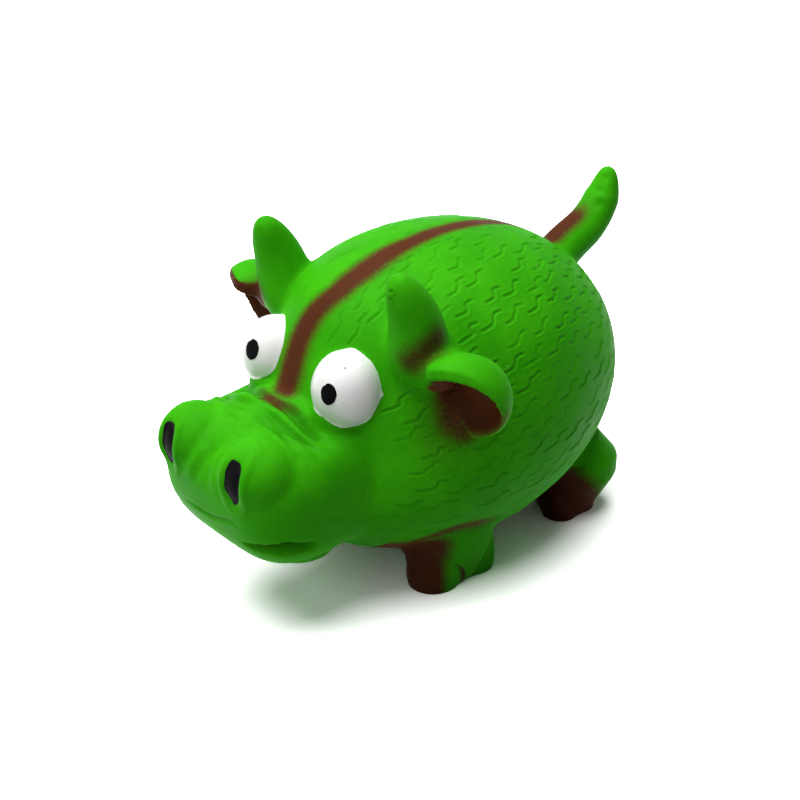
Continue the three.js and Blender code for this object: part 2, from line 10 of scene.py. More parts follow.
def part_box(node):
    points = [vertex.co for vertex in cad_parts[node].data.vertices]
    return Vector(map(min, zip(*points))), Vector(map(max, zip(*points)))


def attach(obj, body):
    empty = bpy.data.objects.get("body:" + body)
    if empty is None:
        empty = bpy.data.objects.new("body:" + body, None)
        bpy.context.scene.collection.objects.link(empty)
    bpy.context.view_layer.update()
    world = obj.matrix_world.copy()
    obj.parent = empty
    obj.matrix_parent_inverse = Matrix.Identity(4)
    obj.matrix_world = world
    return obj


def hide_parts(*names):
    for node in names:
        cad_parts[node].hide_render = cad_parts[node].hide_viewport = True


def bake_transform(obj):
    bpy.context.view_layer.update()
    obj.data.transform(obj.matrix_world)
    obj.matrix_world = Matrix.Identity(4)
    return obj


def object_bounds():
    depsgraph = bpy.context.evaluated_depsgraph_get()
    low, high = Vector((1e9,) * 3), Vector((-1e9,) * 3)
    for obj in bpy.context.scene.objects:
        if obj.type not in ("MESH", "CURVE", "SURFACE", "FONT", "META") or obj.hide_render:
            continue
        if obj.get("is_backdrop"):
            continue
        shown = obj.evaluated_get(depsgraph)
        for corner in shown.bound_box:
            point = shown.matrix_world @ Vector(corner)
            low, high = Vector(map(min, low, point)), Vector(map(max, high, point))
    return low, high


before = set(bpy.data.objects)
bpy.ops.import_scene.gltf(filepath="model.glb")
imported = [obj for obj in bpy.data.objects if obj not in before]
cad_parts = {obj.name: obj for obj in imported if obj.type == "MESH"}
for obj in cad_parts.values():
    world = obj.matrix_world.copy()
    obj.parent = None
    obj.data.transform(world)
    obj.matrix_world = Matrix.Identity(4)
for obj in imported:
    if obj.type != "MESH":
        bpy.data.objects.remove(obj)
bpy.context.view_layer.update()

scene = bpy.context.scene
bothSides = (1, -1)
sideNames = {1: "left", -1: "right"}
fullTurn = 6.28

# Forms are written in millimetres from the floor under the middle of the hooves, nose towards -Y.
# The squeaker plug, at plugAt metres there, gives the shift to the frame.
plugAt = -0.0087
plugLow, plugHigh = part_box("squeaker_plug")
shiftY = (plugLow[1] + plugHigh[1]) / 2 - plugAt


def toFrame(points):
    moved = np.array(points, float).reshape(-1, 3) / 1000
    moved[:, 1] += shiftY
    return moved


def smooth(value, low, high):
    t = np.clip((np.asarray(value, float) - low) / (high - low), 0, 1)
    return t * t * (3 - 2 * t)


def unit(vector):
    vector = np.asarray(vector, float)
    return vector / np.linalg.norm(vector)


# Length of each row.
def norms(rows):
    return np.linalg.norm(rows, axis=1)


# Direction at so many degrees from straight ahead to the left, and so many up.
def towards(turn, rise):
    flat = math.cos(math.radians(rise))
    turn = math.radians(turn)
    return np.array([flat * math.sin(turn), -flat * math.cos(turn), math.sin(math.radians(rise))])


# Places on the left, carried over to a side.
def onSide(places, side):
    return np.asarray(places, float) * [side, 1, 1]


# Places on either side, carried over to the left.
def toLeft(places):
    return np.stack([np.abs(places[:, 0]), places[:, 1], places[:, 2]], 1)


def readRows(items, field, width=3, kind=float):
    values = np.empty(len(items) * width, kind)
    items.foreach_get(field, values)
    return values.reshape(-1, width)


def readNormals(mesh):
    mesh.update()
    return readRows(mesh.vertices, "normal")


def writePoints(mesh, points):
    mesh.vertices.foreach_set("co", np.asarray(points, float).ravel())
    mesh.update()


def newObject(name, bm):
    mesh = bpy.data.meshes.new(name)
    bm.normal_update()
    bm.to_mesh(mesh)
    bm.free()
    mesh.polygons.foreach_set("use_smooth", [True] * len(mesh.polygons))
    piece = bpy.data.objects.new(name, mesh)
    scene.collection.objects.link(piece)
    return piece


# A piece made in millimetres, moved into the frame.
def framedObject(name, bm):
    piece = newObject(name, bm)
    writePoints(piece.data, toFrame(readRows(piece.data.vertices, "co")))
    return piece


# A ball whose points are moved to the form that shape() gives for their directions.
def addBall(bm, around, upright, shape):
    made = bmesh.ops.create_uvsphere(bm, u_segments=around, v_segments=upright, radius=1)["verts"]
    directions = np.array([v.co for v in made])
    for vert, place in zip(made, shape(directions)):
        vert.co = place


# A ring extruded from place to place and closed at both ends.
# Each place is a matrix for a ring of radius 1.
def addRings(bm, sides, places):
    ring = bmesh.ops.create_circle(bm, cap_ends=True, segments=sides, radius=1,
                                   matrix=places[0])["verts"]
    edges = list({edge for vert in ring for edge in vert.link_edges})
    made = list(ring)
    for last, place in zip(places, places[1:]):
        drawn = bmesh.ops.extrude_edge_only(bm, edges=edges)["geom"]
        ring = [g for g in drawn if isinstance(g, bmesh.types.BMVert)]
        fresh = set(ring)
        edges = [g for g in drawn
                 if isinstance(g, bmesh.types.BMEdge) and fresh.issuperset(g.verts)]
        bmesh.ops.transform(bm, matrix=place @ last.inverted(), verts=ring)
        made += ring
    bmesh.ops.contextual_create(bm, geom=edges)
    return made


# Such rings as a form of its own, joined to bm; shape() moves its points first.
def joinRings(bm, sides, places, shape=np.array):
    form = bmesh.new()
    for vert in addRings(form, sides, places):
        vert.co = shape(vert.co)
    mesh = bpy.data.meshes.new("form")
    form.to_mesh(mesh)
    form.free()
    bm.from_mesh(mesh)
    bpy.data.meshes.remove(mesh)


def ringPlace(centre, across, upwards, along, sizes):
    axes = zip((across, upwards, along), (sizes[0], sizes[1], max(sizes)))
    turned = Matrix([np.array(axis) * size for axis, size in axes])
    return Matrix.Translation(Vector(centre)) @ turned.transposed().to_4x4()


# Rings along a path, square to it.
def addTube(bm, sides, path, radii, keep):
    along = np.gradient(path, axis=0)
    places = []
    for centre, direction, radius in zip(path, along, radii):
        direction = unit(direction)
        across = unit(np.cross(keep, direction))
        upwards = np.cross(direction, across)
        places.append(ringPlace(centre, across, upwards, direction, (radius, radius)))
    joinRings(bm, sides, places)


# A smooth path through a few points.
def pathThrough(points, count):
    points = np.array(points, float)
    steps = np.linspace(0, len(points) - 1, count)
    padded = np.vstack([2 * points[0] - points[1], points, 2 * points[-1] - points[-2]])
    path = []
    for step in steps:
        i = min(int(step), len(points) - 2)
        t = step - i
        a, b, c, d = padded[i:i + 4]
        path.append(0.5 * (2 * b + (c - a) * t + (2 * a - 5 * b + 4 * c - d) * t ** 2
                           + (3 * b - a - 3 * c + d) * t ** 3))
    return np.array(path)


# Body egg with its leaning face
body = dict(
    length=125.5, width=91, height=92, lift=3, forward=8.7, faceReach=52, faceLean=26,
    faceRadius=26, faceSoftness=3, halvings=36)
bodyHalf = np.array([body["width"], body["length"], body["height"]]) / 2
bodyCentre = np.array([0, -body["forward"], body["lift"] + body["height"] / 2])
faceNormal = towards(0, body["faceLean"])


# How far points, given from the middle of the body, lie outside it.
def outsideBody(points, inset=0.0):
    half = bodyHalf - inset
    share = norms(points / half)
    egg = norms(points) * (1 - 1 / np.maximum(share, 1e-6))
    curve = points[:, 0] ** 2 / (2 * body["faceRadius"])
    face = points @ faceNormal - body["faceReach"] + inset + curve
    soft = body["faceSoftness"]
    return np.maximum(egg, face) + soft * np.log1p(np.exp(-np.abs(egg - face) / soft))


# Where directions from the middle of the body meet its surface.
def bodySurface(directions, inset=0.0):
    directions = np.atleast_2d(directions).astype(float)
    directions = directions / norms(directions)[:, None]
    near = np.full(len(directions), 0.1)
    far = np.full(len(directions), body["length"])
    for _ in range(body["halvings"]):
        middle = (near + far) / 2
        out = outsideBody(directions * middle[:, None], inset) > 0
        far = np.where(out, middle, far)
        near = np.where(out, near, middle)
    return bodyCentre + directions * near[:, None]


# Muzzle block, raked back towards the chin, with a boss round each nostril
muzzle = dict(
    width=54, length=58, height=42, front=-89, middle=40, flatness=4, squareness=2.5, rake=0.1,
    rise=0.1, riseFrom=-74, riseSpan=(-6, 14), boss=(13.2, -79.5, 50.3),
    bossSize=(10.4, 10.2, 10.2))
muzzleCentre = np.array([0, muzzle["front"] + muzzle["length"] / 2, muzzle["middle"]])
bossCentre = np.array(muzzle["boss"])


def muzzleSurface(directions):
    flat, square = muzzle["flatness"], muzzle["squareness"]
    level = (np.abs(directions[:, :2]) ** flat).sum(1) ** (square / flat)
    reach = (level + np.abs(directions[:, 2]) ** square) ** (-1 / square)
    half = np.array([muzzle["width"], muzzle["length"], muzzle["height"]]) / 2
    p = directions * half * reach[:, None] + muzzleCentre
    p[:, 1] += muzzle["rake"] * (bossCentre[2] - p[:, 2]) * smooth(-directions[:, 1], 0, 0.8)
    raised = np.clip(p[:, 1] - muzzle["riseFrom"], *muzzle["riseSpan"])
    p[:, 2] += muzzle["rise"] * raised * smooth(directions[:, 2], 0, 0.7)
    return p


# Lower lip
lip = dict(centre=(0, -63, 23.6), size=(38, 26, 17.4))
lipCentre = np.array(lip["centre"])
lipHalf = np.array(lip["size"]) / 2

# Eyeballs
eye = dict(width=18.4, tall=20.6, turn=19.5, rise=20.6, sink=1.5)
eyeCentre = bodySurface(towards(eye["turn"], eye["rise"]), eye["sink"])[0]
eyeHalf = np.array([eye["width"], eye["width"], eye["tall"]]) / 2

# Horns, thick at the root; the right one leans out more
horn = dict(
    base=19.8, tip=8, height=23, turn=44, rise=35.5, forward=8.2, inward={1: 0.5, -1: -1.7}, bow=1,
    taper=1.5, sunk=0.2, tipRound=12, least=0.3, rings=40)
hornSeat = bodySurface(towards(horn["turn"], horn["rise"]))[0]


def addHorn(bm, side):
    foot = hornSeat + (bodyCentre - hornSeat) * horn["sunk"]
    tip = hornSeat + [-horn["inward"][side], -horn["forward"], horn["height"]]
    bend = (hornSeat + tip) / 2 + [horn["bow"], horn["bow"], 0]
    share = np.linspace(0, 1, horn["rings"])
    radii = (horn["base"] + (horn["tip"] - horn["base"]) * share ** horn["taper"]) / 2
    radii = radii * np.sqrt(np.maximum(0, 1 - share ** horn["tipRound"]))
    path = pathThrough(onSide([foot, hornSeat, bend, tip], side), horn["rings"])
    addTube(bm, 32, path, np.maximum(horn["least"], radii), keep=(0, 1, 0))


# Ears: cups open to the front, narrower towards the head and falling back into it.
# A ball joins each root to the head. The left ear sits higher.
ear = dict(
    length=25.7, width=27.3, depth=12.9, rim=1.75, hollow=(22.6, 19.8, 6.5), hollowAt=(0.4, -0.6),
    turn=50, rise=23.5, up=12, back=4.6, faceDrop=32.5, openTurn=0.26, out=10.3, forward=4.3,
    fallBack=9, taper=0.3, lift={1: 0.6, -1: -0.9}, root=(33.3, -36.8, 74), rootHalf=(6.5, 5.6, 6),
    paintReach=17)
earAlong = towards(90 + ear["back"], ear["up"])
earUp = unit(np.cross(towards(0, -ear["faceDrop"]), earAlong))
earFacing = np.cross(earAlong, earUp)
earRoot = bodySurface(towards(ear["turn"], ear["rise"]))[0]
earRoot = earRoot + earAlong * ear["out"] + earFacing * ear["forward"]
earAxes = np.stack([earAlong - earFacing * ear["openTurn"], earFacing, earUp])
earHalf = np.array([ear["length"], ear["width"]]) / 2
hollowHalf = np.array(ear["hollow"][:2]) / 2
hollowAt = np.array(ear["hollowAt"])


def addEar(bm, side):
    outer = [(math.sin(a), -math.cos(a)) for a in np.linspace(0.02, math.pi / 2, 14)]
    inner = [(math.sin(a), -math.cos(a)) for a in np.linspace(math.pi / 2, 0.02, 12)]
    rows = [(earHalf * out, ear["depth"] * back, 0) for out, back in outer]
    rows += [((earHalf + hollowHalf) / 2, ear["rim"], 0.5)]
    rows += [(hollowHalf * out, ear["hollow"][2] * back, 1) for out, back in inner]
    places = []
    for half, depth, share in rows:
        middle = hollowAt * share
        place = (middle[0], depth, middle[1])
        places.append(ringPlace(place, (1, 0, 0), (0, 0, 1), (0, 1, 0), half))
    def cupped(place):
        local = np.array(place)
        headwards = -local[0] / earHalf[0]
        local[1] -= ear["fallBack"] * smooth(headwards, 0, 0.9)
        local[2] *= 1 - ear["taper"] * smooth(headwards, 0, 1)
        return onSide(earRoot + [0, 0, ear["lift"][side]] + local @ earAxes, side)

    joinRings(bm, 48, places, cupped)
    addBall(bm, 32, 16, lambda d: d * ear["rootHalf"] + onSide(ear["root"], side))


# Legs: thick stumps, wider upwards, with two toes on the outer side
frontLeg = dict(
    column=[((20.8, -21), -0.5, 8.5), ((20.8, -21), 2.5, 10.2), ((20.8, -21.2), 13, 13.8),
        ((20.8, -21.8), 20, 15), ((20, -22), 26, 13)],
    toes=[((23.6, -27.9, 4), (7.6, 7.6, 13)), ((23.5, -13.6, 4), (7.6, 7.6, 13)),
        ((22.6, -20.8, 3), (6.8, 7, 11))])
rearLeg = dict(
    column=[((19.5, 31), -0.5, 7.5), ((19.6, 31.3), 2.5, 9.2), ((20.2, 33.4), 12.7, 13.3),
        ((20, 33.4), 18, 13.6), ((18, 32), 25, 10)],
    toes=[((22.6, 26, 3), (5.4, 5.4, 11)), ((21.8, 33.5, 3), (6.2, 6.2, 11))])


def addLeg(bm, leg, side):
    steps = np.linspace(0, len(leg["column"]) - 1, 26)
    rows = np.array([[*centre, level, radius] for centre, level, radius in leg["column"]])
    rows = np.stack([np.interp(steps, range(len(rows)), column) for column in rows.T], 1)
    places = []
    for row in rows:
        places.append(ringPlace(onSide(row[:3], side), *np.eye(3), (row[3], row[3])))
    joinRings(bm, 40, places)
    for centre, half in leg["toes"]:
        addBall(bm, 32, 20, lambda d: onSide(d * np.array(half) + centre, side))


# Tail
tail = dict(
    path=[(0, 30, 66), (0, 47, 75.5), (0, 57, 80.5), (0, 63, 87.5), (0, 65.6, 96.6)],
    radii=[6.8, 6.4, 5.9, 5.5, 2.6], tipRound=26, rings=56)


def addTail(bm):
    last = len(tail["radii"]) - 1
    share = np.linspace(0, last, tail["rings"])
    radii = np.interp(share, range(last + 1), tail["radii"])
    radii = radii * np.sqrt(np.maximum(0.01, 1 - (share / last) ** tail["tipRound"]))
    addTube(bm, 32, pathThrough(tail["path"], tail["rings"]), radii, keep=(1, 0, 0))


# All forms in one piece of skin
fused = dict(voxel=0.46, fillets=70, step=0.6, atEyes=0.15, eyeClear=(1.05, 1.25), calming=2)
base = bmesh.new()
addBall(base, 96, 64, bodySurface)
addBall(base, 96, 64, muzzleSurface)
addBall(base, 48, 32, lambda d: d * lipHalf + lipCentre)
for side in bothSides:
    addBall(base, 48, 32, lambda d: d * eyeHalf + onSide(eyeCentre, side))
    addBall(base, 48, 32, lambda d: d * np.array(muzzle["bossSize"]) + onSide(bossCentre, side))
    addHorn(base, side)
    addEar(base, side)
    addLeg(base, frontLeg, side)
    addLeg(base, rearLeg, side)
addTail(base)
bmesh.ops.recalc_face_normals(base, faces=base.faces)
skin = newObject("latex_skin", base)
remesh = skin.modifiers.new("fuse", "REMESH")
remesh.mode = "VOXEL"
remesh.voxel_size = fused["voxel"]
bpy.context.view_layer.update()
graph = bpy.context.evaluated_depsgraph_get()
whole = bpy.data.meshes.new_from_object(skin.evaluated_get(graph))
bpy.data.meshes.remove(skin.data)
print("fused skin", len(whole.polygons))

meshEdges = readRows(whole.edges, "vertices", 2, int)
degree = np.bincount(meshEdges.ravel(), minlength=len(whole.vertices))


# Mean of each point's neighbours, for one or more values per point.
def aroundMean(values):
    values = values.reshape(len(degree), -1)
    total = np.empty_like(values)
    for k in range(values.shape[1]):
        column = values[:, k]
        total[:, k] = np.bincount(meshEdges[:, 0], column[meshEdges[:, 1]], len(degree))
        total[:, k] += np.bincount(meshEdges[:, 1], column[meshEdges[:, 0]], len(degree))
    return total / degree[:, None]


# Distance from the middle of the nearer eyeball, 1 on its surface.
def eyeDistance(p):
    return norms((toLeft(p) - eyeCentre) / eyeHalf)


# Soft fillets: points in inner corners rise, the rest stays
points = readRows(whole.vertices, "co")
for _ in range(fused["fillets"]):
    normals = readNormals(whole)
    lift = ((aroundMean(points) - points) * normals).sum(1)
    offEyes = smooth(eyeDistance(points), *fused["eyeClear"])
    allowed = fused["atEyes"] + (1 - fused["atEyes"]) * offEyes
    points += normals * (np.maximum(lift, 0) * fused["step"] * allowed)[:, None]
    writePoints(whole, points)
for _ in range(fused["calming"]):
    points += (aroundMean(points) - points) * 0.5
writePoints(whole, points)
print("filleted skin", len(points))

# Marks on the skin: each line is pressed in, or drawn out where its depth is negative.
# A lip stands up beside it, so many widths away. Its valley is darkened with painted shade,
# as strong as dark.
pressed = dict(reach=3, lipAt=1.7, lipWidth=0.7)
# Painted shade in grooves, folds and the mouth hollows, 0 to 1 for each point.
paintedShadeMask = np.zeros(len(points))
normals = readNormals(whole)
move = np.zeros(len(points))


def denseLine(line, step=0.25):
    line = np.array(line, float)
    rough = pathThrough(line, 12 * len(line))
    run = np.concatenate([[0], np.cumsum(norms(np.diff(rough, axis=0)))])
    places = np.linspace(0, run[-1], max(3, int(run[-1] / step)))
    return np.stack([np.interp(places, run, column) for column in rough.T], 1), places / run[-1]


def press(line, width, depth, lip=0.0, fade=0.15, dark=1.0):
    dense, share = denseLine(line)
    reach = width * pressed["reach"]
    near = (points > dense.min(0) - reach) & (points < dense.max(0) + reach)
    near = near.all(1).nonzero()[0]
    if not len(near):
        return
    gaps = np.linalg.norm(points[near, None] - dense[None], axis=2)
    nearest = gaps.argmin(1)
    gap = gaps[np.arange(len(near)), nearest] / width
    share = share[nearest]
    ends = np.minimum(smooth(share, -0.02, fade), smooth(1 - share, -0.02, fade))
    valley = np.exp(-gap ** 2) * ends
    beside = np.exp(-((gap - pressed["lipAt"]) / pressed["lipWidth"]) ** 2)
    move[near] += -depth * valley + lip * beside * ends
    # The valley is darkened with painted shade, as strong as dark.
    paintedShadeMask[near] = np.maximum(paintedShadeMask[near], valley * dark)


def pressBoth(line, **how):
    for side in bothSides:
        press(onSide(line, side), **how)


# Folds over the snout, met in the middle
folds = [
    dict(line=[(0, -64.6, 61.9), (3, -64.7, 61.8), (8.1, -64.1, 61.6), (12.3, -63.8, 60.8),
        (16.4, -63.5, 59.4), (19.6, -62.9, 57.6), (22.2, -61.7, 55.6)], width=1.5, depth=2.0,
        lip=0.5, dark=0.9),
    dict(line=[(0, -69.4, 61), (7, -69.8, 60.8), (12, -69.5, 60.1), (16, -68.4, 59),
        (20, -66.6, 56.6), (23, -65, 53.6)], width=1.2, depth=1.5, lip=0.5, dark=0.7),
    dict(line=[(0, -72.4, 60.2), (2.8, -72.2, 60.3), (8, -71.9, 60.2), (11.7, -71.5, 59.8),
        (16, -71, 58), (20, -69.6, 55)], width=1.1, depth=1.2, lip=0.4, dark=0.6)]
for fold in folds:
    pressBoth(fade=0.3, **fold)

# Dimple between the nostrils, and the line over the lip
snout = dict(
    dimple=[(-7, -76.3, 59), (-3.7, -75.5, 59.1), (1.7, -76.9, 58.6)],
    lipLine=[(-10.8, -87.2, 36), (-4.8, -87.4, 36.4), (-0.3, -87.4, 36.3), (4.5, -87.5, 37),
        (11.3, -87.6, 39), (14.1, -87.2, 38.4), (16.4, -86.6, 38)])
press(snout["dimple"], width=2.2, depth=0.9, fade=0.4, dark=0.2)
press(snout["lipLine"], width=0.8, depth=0.5, lip=0.15, fade=0.3, dark=0.5)

# The edges of the bridge dip in front of the eyes
dip = dict(centre=(16, -61.5, 60), reach=(6.5, 7, 7), depth=3.4)
fromDip = (toLeft(points) - dip["centre"]) / dip["reach"]
offEyes = smooth(eyeDistance(points), *fused["eyeClear"])
move -= dip["depth"] * np.exp(-(fromDip ** 2).sum(1)) * offEyes

# Nostril recesses with a low rim; they are rounded, and the paint in them is pointed below
nostril = dict(
    x=14.2, z=51.2, halfWidth=2.85, halfTall=6.3, depth=1.0, wider=1.1, squareness=2.6, behind=-80,
    edge=(0.8, 1.12), rim=0.35, rimAt=1.4, rimWidth=0.22, thick=0.1)


# Half the width of the paint, at a share of the way up or down.
def nostrilHalf(upright):
    above = np.maximum(0, 1 - np.clip(upright, 0, 1) ** 4) ** 0.25
    below = np.maximum(0, 1 - np.clip(-upright, 0, 1) ** 2.2) ** 0.75
    return above * below


# Distance from the middle of a recess, 1 at its edge and large behind the front of the muzzle.
def nostrilSpan(p, side):
    across = np.abs(p[:, 0] * side - nostril["x"]) / (nostril["halfWidth"] * nostril["wider"])
    upright = np.abs(p[:, 2] - nostril["z"]) / nostril["halfTall"]
    power = nostril["squareness"]
    span = (across ** power + upright ** power) ** (1 / power)
    return span + 20 * (p[:, 1] > nostril["behind"])


for side in bothSides:
    inside = nostrilSpan(points, side)
    move -= nostril["depth"] * (1 - smooth(inside, *nostril["edge"]))
    move += nostril["rim"] * np.exp(-((inside - nostril["rimAt"]) / nostril["rimWidth"]) ** 2)

# Inner edge of each boss, with a hollow beside it
bossEdge = np.array([(6.7, -83.7, 57), (3.7, -85, 53.3), (4, -86.9, 50), (5.5, -88, 46.4),
                     (7.7, -88.1, 43.9)])
pressBoth(bossEdge, width=1.8, depth=-0.55, fade=0.35, dark=0)
pressBoth(bossEdge + [-2.8, 0.4, 0.5], width=1.7, depth=0.5, fade=0.35, dark=0.1)

# Mouth: a hollow on each side under the upper lip
mouth = dict(
    x=[13.7, 18.2, 21.8, 24.9, 25.8, 26.4], top=[33.3, 34, 34.5, 35.2, 33.9, 31.9],
    bottom=[32.4, 31.7, 31.4, 30.9, 30.8, 31.2], end=-71.0, depth=4.2, corner=-80, cheekX=25,
    cheekY=-79, cheekSlope=0.11, start=(13, 17.5), least=9)
for side in bothSides:
    x, y = points[:, 0] * side, points[:, 1]
    cheek = mouth["cheekX"] + (y - mouth["cheekY"]) * mouth["cheekSlope"]
    along = np.where(y < mouth["corner"], x, np.maximum(x, cheek))
    top = np.interp(along, mouth["x"], mouth["top"])
    low = np.interp(along, mouth["x"], mouth["bottom"])
    share = (top - points[:, 2]) / (top - low)
    here = smooth(along, *mouth["start"]) * (x > mouth["least"])
    here = here * (1 - smooth(y, mouth["end"] - 2.5, mouth["end"] + 1))
    hollow = here * smooth(share, -0.12, 0.2) * (1 - smooth(share, 0.3, 1.3))
    hollow = hollow * (normals[:, 2] < 0.6)
    move -= mouth["depth"] * hollow
    # The mouth hollows are darkened with painted shade too.
    paintedShadeMask = np.maximum(paintedShadeMask, hollow)
mouthMask = paintedShadeMask * (points[:, 2] < 35.5) * (points[:, 2] > 30) * (points[:, 1] < -70)

# Hoof clefts
cleft = dict(
    front=[(28.5, -32.2, 13.2), (30, -29.5, 12.6), (31, -26, 9), (31, -23.5, 5), (30.5, -22.5, 1)],
    rear=[(28.6, 24.5, 14), (30.5, 28, 11.5), (31, 31.5, 8.5)])
pressBoth(cleft["front"], width=0.9, depth=0.8, lip=0.15, fade=0.2)
pressBoth(cleft["rear"], width=0.9, depth=0.7, lip=0.15, fade=0.2)

# Flank marks: small waves in rows, each flat, then rising, then flat. Those that the photograph
# shows best are even, the others vary, and some are missing.
marks = dict(
    rows=16, firstTurn=14, rowTurn=8, pitch=8.4, steps=range(-6, 7), length=9, rise=3.3, width=0.4,
    depth=0.34, evenRows=(2, 4, 6, 8), evenSteps=(-2, 0, 2, 4), missing=0.08, earFrom=-36,
    earTurns=(24, 40), faceFrom=-50, endMargin=7,
    shifts=[0.5, 2.9, 3.9, 4.3, 0.6, -1.5, 1.8, -2.8, 3.0, 0.2, -2.4, 1.1, 3.6, -0.6, 2.2, -3.0],
    wave=[(-0.5, -0.48), (-0.3, -0.46), (-0.1, -0.38), (0.03, -0.24), (0.09, 0.05), (0.15, 0.34),
        (0.24, 0.46), (0.37, 0.5), (0.5, 0.48)])
draw = np.random.default_rng(7)


def flankPoints(y, turn, side):
    run = np.sqrt(np.maximum(0.02, 1 - ((y - bodyCentre[1]) / bodyHalf[1]) ** 2))
    turn = np.radians(turn)
    flat = np.stack([np.sin(turn) * bodyHalf[0] * run, y - bodyCentre[1],
                     np.cos(turn) * bodyHalf[2] * run], 1)
    return onSide(bodySurface(flat), side)


count = 0
for side in bothSides:
    for row in range(marks["rows"]):
        turn = marks["firstTurn"] + marks["rowTurn"] * row
        low = smooth(turn, 100, 132)
        for step in marks["steps"]:
            main = row in marks["evenRows"] and step in marks["evenSteps"]
            loose = 0 if main else 1
            y = marks["shifts"][row] + marks["pitch"] * step + loose * draw.normal(0, 0.7)
            size = 1 + loose * draw.uniform(-0.22, 0.12)
            shift = loose * draw.normal(0, 0.7)
            depth = marks["depth"] * (1 + loose * draw.uniform(-0.5, 0.2)) * (1 - 0.55 * low)
            bend = loose * draw.normal(0, 0.045, (len(marks["wave"]), 2))
            skip = draw.random()
            byEar = y < marks["earFrom"] and marks["earTurns"][0] < turn < marks["earTurns"][1]
            atEnd = bodyHalf[1] - abs(y - bodyCentre[1]) < marks["endMargin"]
            absent = skip < marks["missing"] and not main
            if absent or byEar or atEnd or y < marks["faceFrom"]:
                continue
            wave = (np.array(marks["wave"]) + bend) * size
            ahead = y + wave[:, 0] * marks["length"]
            above = np.degrees(wave[:, 1] * marks["rise"] * (1 - 0.6 * low) / bodyHalf[0])
            line = flankPoints(ahead, turn + shift - above, side)
            press(line, width=marks["width"], depth=depth, lip=depth * 0.4, fade=0.07,
                  dark=0.35 * depth / marks["depth"])
            count += 1
print("flank marks", count)

# Mould flash on flanks and cheeks
flash = dict(
    flank=[(44.7, -17.2, 47.5), (45.4, -10.7, 47.9), (45.3, -3, 49.5)],
    cheek=[(26.1, -76.5, 40.4), (26.8, -70.6, 38.9), (27, -67.4, 39.1), (27, -62.5, 38),
        (26.9, -59.1, 37.5)])
pressBoth(flash["flank"], width=0.45, depth=-0.22, fade=0.3, dark=0)
pressBoth(flash["cheek"], width=0.4, depth=-0.16, fade=0.3, dark=0)

# Burst bubbles on the left horn: a rim round a pit
bubble = dict(
    places=[(27.1, -46.5, 96.0), (27.1, -46.6, 94.0)], rim=0.35, rimAt=0.75, rimWidth=0.3, pit=0.5,
    pitWidth=0.5)
for centre in bubble["places"]:
    span = norms(points - centre)
    rim = bubble["rim"] * np.exp(-((span - bubble["rimAt"]) / bubble["rimWidth"]) ** 2)
    move += rim - bubble["pit"] * np.exp(-(span / bubble["pitWidth"]) ** 2)

# Brown stripe over the head and back, a little off the middle, with broken lines along its edges
stripe = dict(
    y=[-62, -57, -53, -49, -43, -35, -27, -17, -7, 4, 17, 48],
    x=[0.2, -1.2, -2.1, -1.2, 1.7, 2.6, 2.4, 2.5, 2.2, 1.8, 0.6, 0],
    half=[4.6, 5.2, 5.0, 4.6, 4.3, 4.6, 4.4, 3.4, 3.0, 2.9, 2.4, 2.6], lineStart=-56.0, lineEnd=30,
    lineOut=4.1, lineWidth=0.35, leftDepth=0.6)
stripeAway = np.abs(points[:, 0] - np.interp(points[:, 1], stripe["y"], stripe["x"]))
stripeAway = stripeAway / np.interp(points[:, 1], stripe["y"], stripe["half"])
for edge in (-1, 1):
    y = stripe["lineStart"]
    while y < stripe["lineEnd"]:
        length = draw.uniform(1.5, 6)
        places = np.linspace(y, y + length, 4)
        out = stripe["lineOut"] + draw.uniform(-0.5, 0.6)
        x = np.interp(places, stripe["y"], stripe["x"]) + edge * out
        top = bodySurface(np.stack([x, places - bodyCentre[1], np.full(4, 40.0)], 1))
        depth = draw.uniform(0.12, 0.3) * (1 if edge < 0 else stripe["leftDepth"])
        press(top, width=stripe["lineWidth"], depth=depth, lip=0.05, dark=0.8)
        y += length + draw.uniform(0.3, 3)

# Slow unevenness of hand-poured latex, and dents on the tail
uneven = dict(waves=14, lengths=(9, 26), height=0.2, eyeClear=(1.1, 1.3))
dents = dict(places=[(1.6, 59.4, 90.6), (1.9, 61.8, 94.2), (3.4, 58, 87)], depth=0.5, width=1.6)
waves = draw.normal(0, 1, (uneven["waves"], 3))
lengths = draw.uniform(*uneven["lengths"], uneven["waves"])
waves *= (2 * math.pi / lengths / norms(waves))[:, None]
swell = np.sin(points @ waves.T + draw.uniform(0, fullTurn, uneven["waves"])).mean(1)
move += uneven["height"] * swell * smooth(eyeDistance(points), *uneven["eyeClear"])
points += normals * move[:, None]
for centre in dents["places"]:
    span = norms(points - centre)
    points -= normals * (dents["depth"] * np.exp(-(span / dents["width"]) ** 2))[:, None]
points[:, 2] = np.maximum(points[:, 2], 0)
writePoints(whole, points)
normals = readNormals(whole)
print("sculpted skin")

# Brown paint, as an amount and a darkness for each point; the stripe comes first
x, y, z = np.abs(points[:, 0]), points[:, 1], points[:, 2]
mirrored = toLeft(points)
brown = (1 - smooth(stripeAway, 0.15, 1.75)) * smooth(z, 58.5, 62) * smooth(y, -67, -60.5)
brown *= (y < 46) * (normals[:, 2] > -0.3) * smooth(y * 0.5 + z, 26, 34)
coat = dict(brown=brown, dark=0.25 * smooth(-y, 30, 55))


def paint(amount, dark):
    coat["dark"] = np.where(amount > coat["brown"], dark, coat["dark"])
    coat["brown"] = np.maximum(coat["brown"], amount)


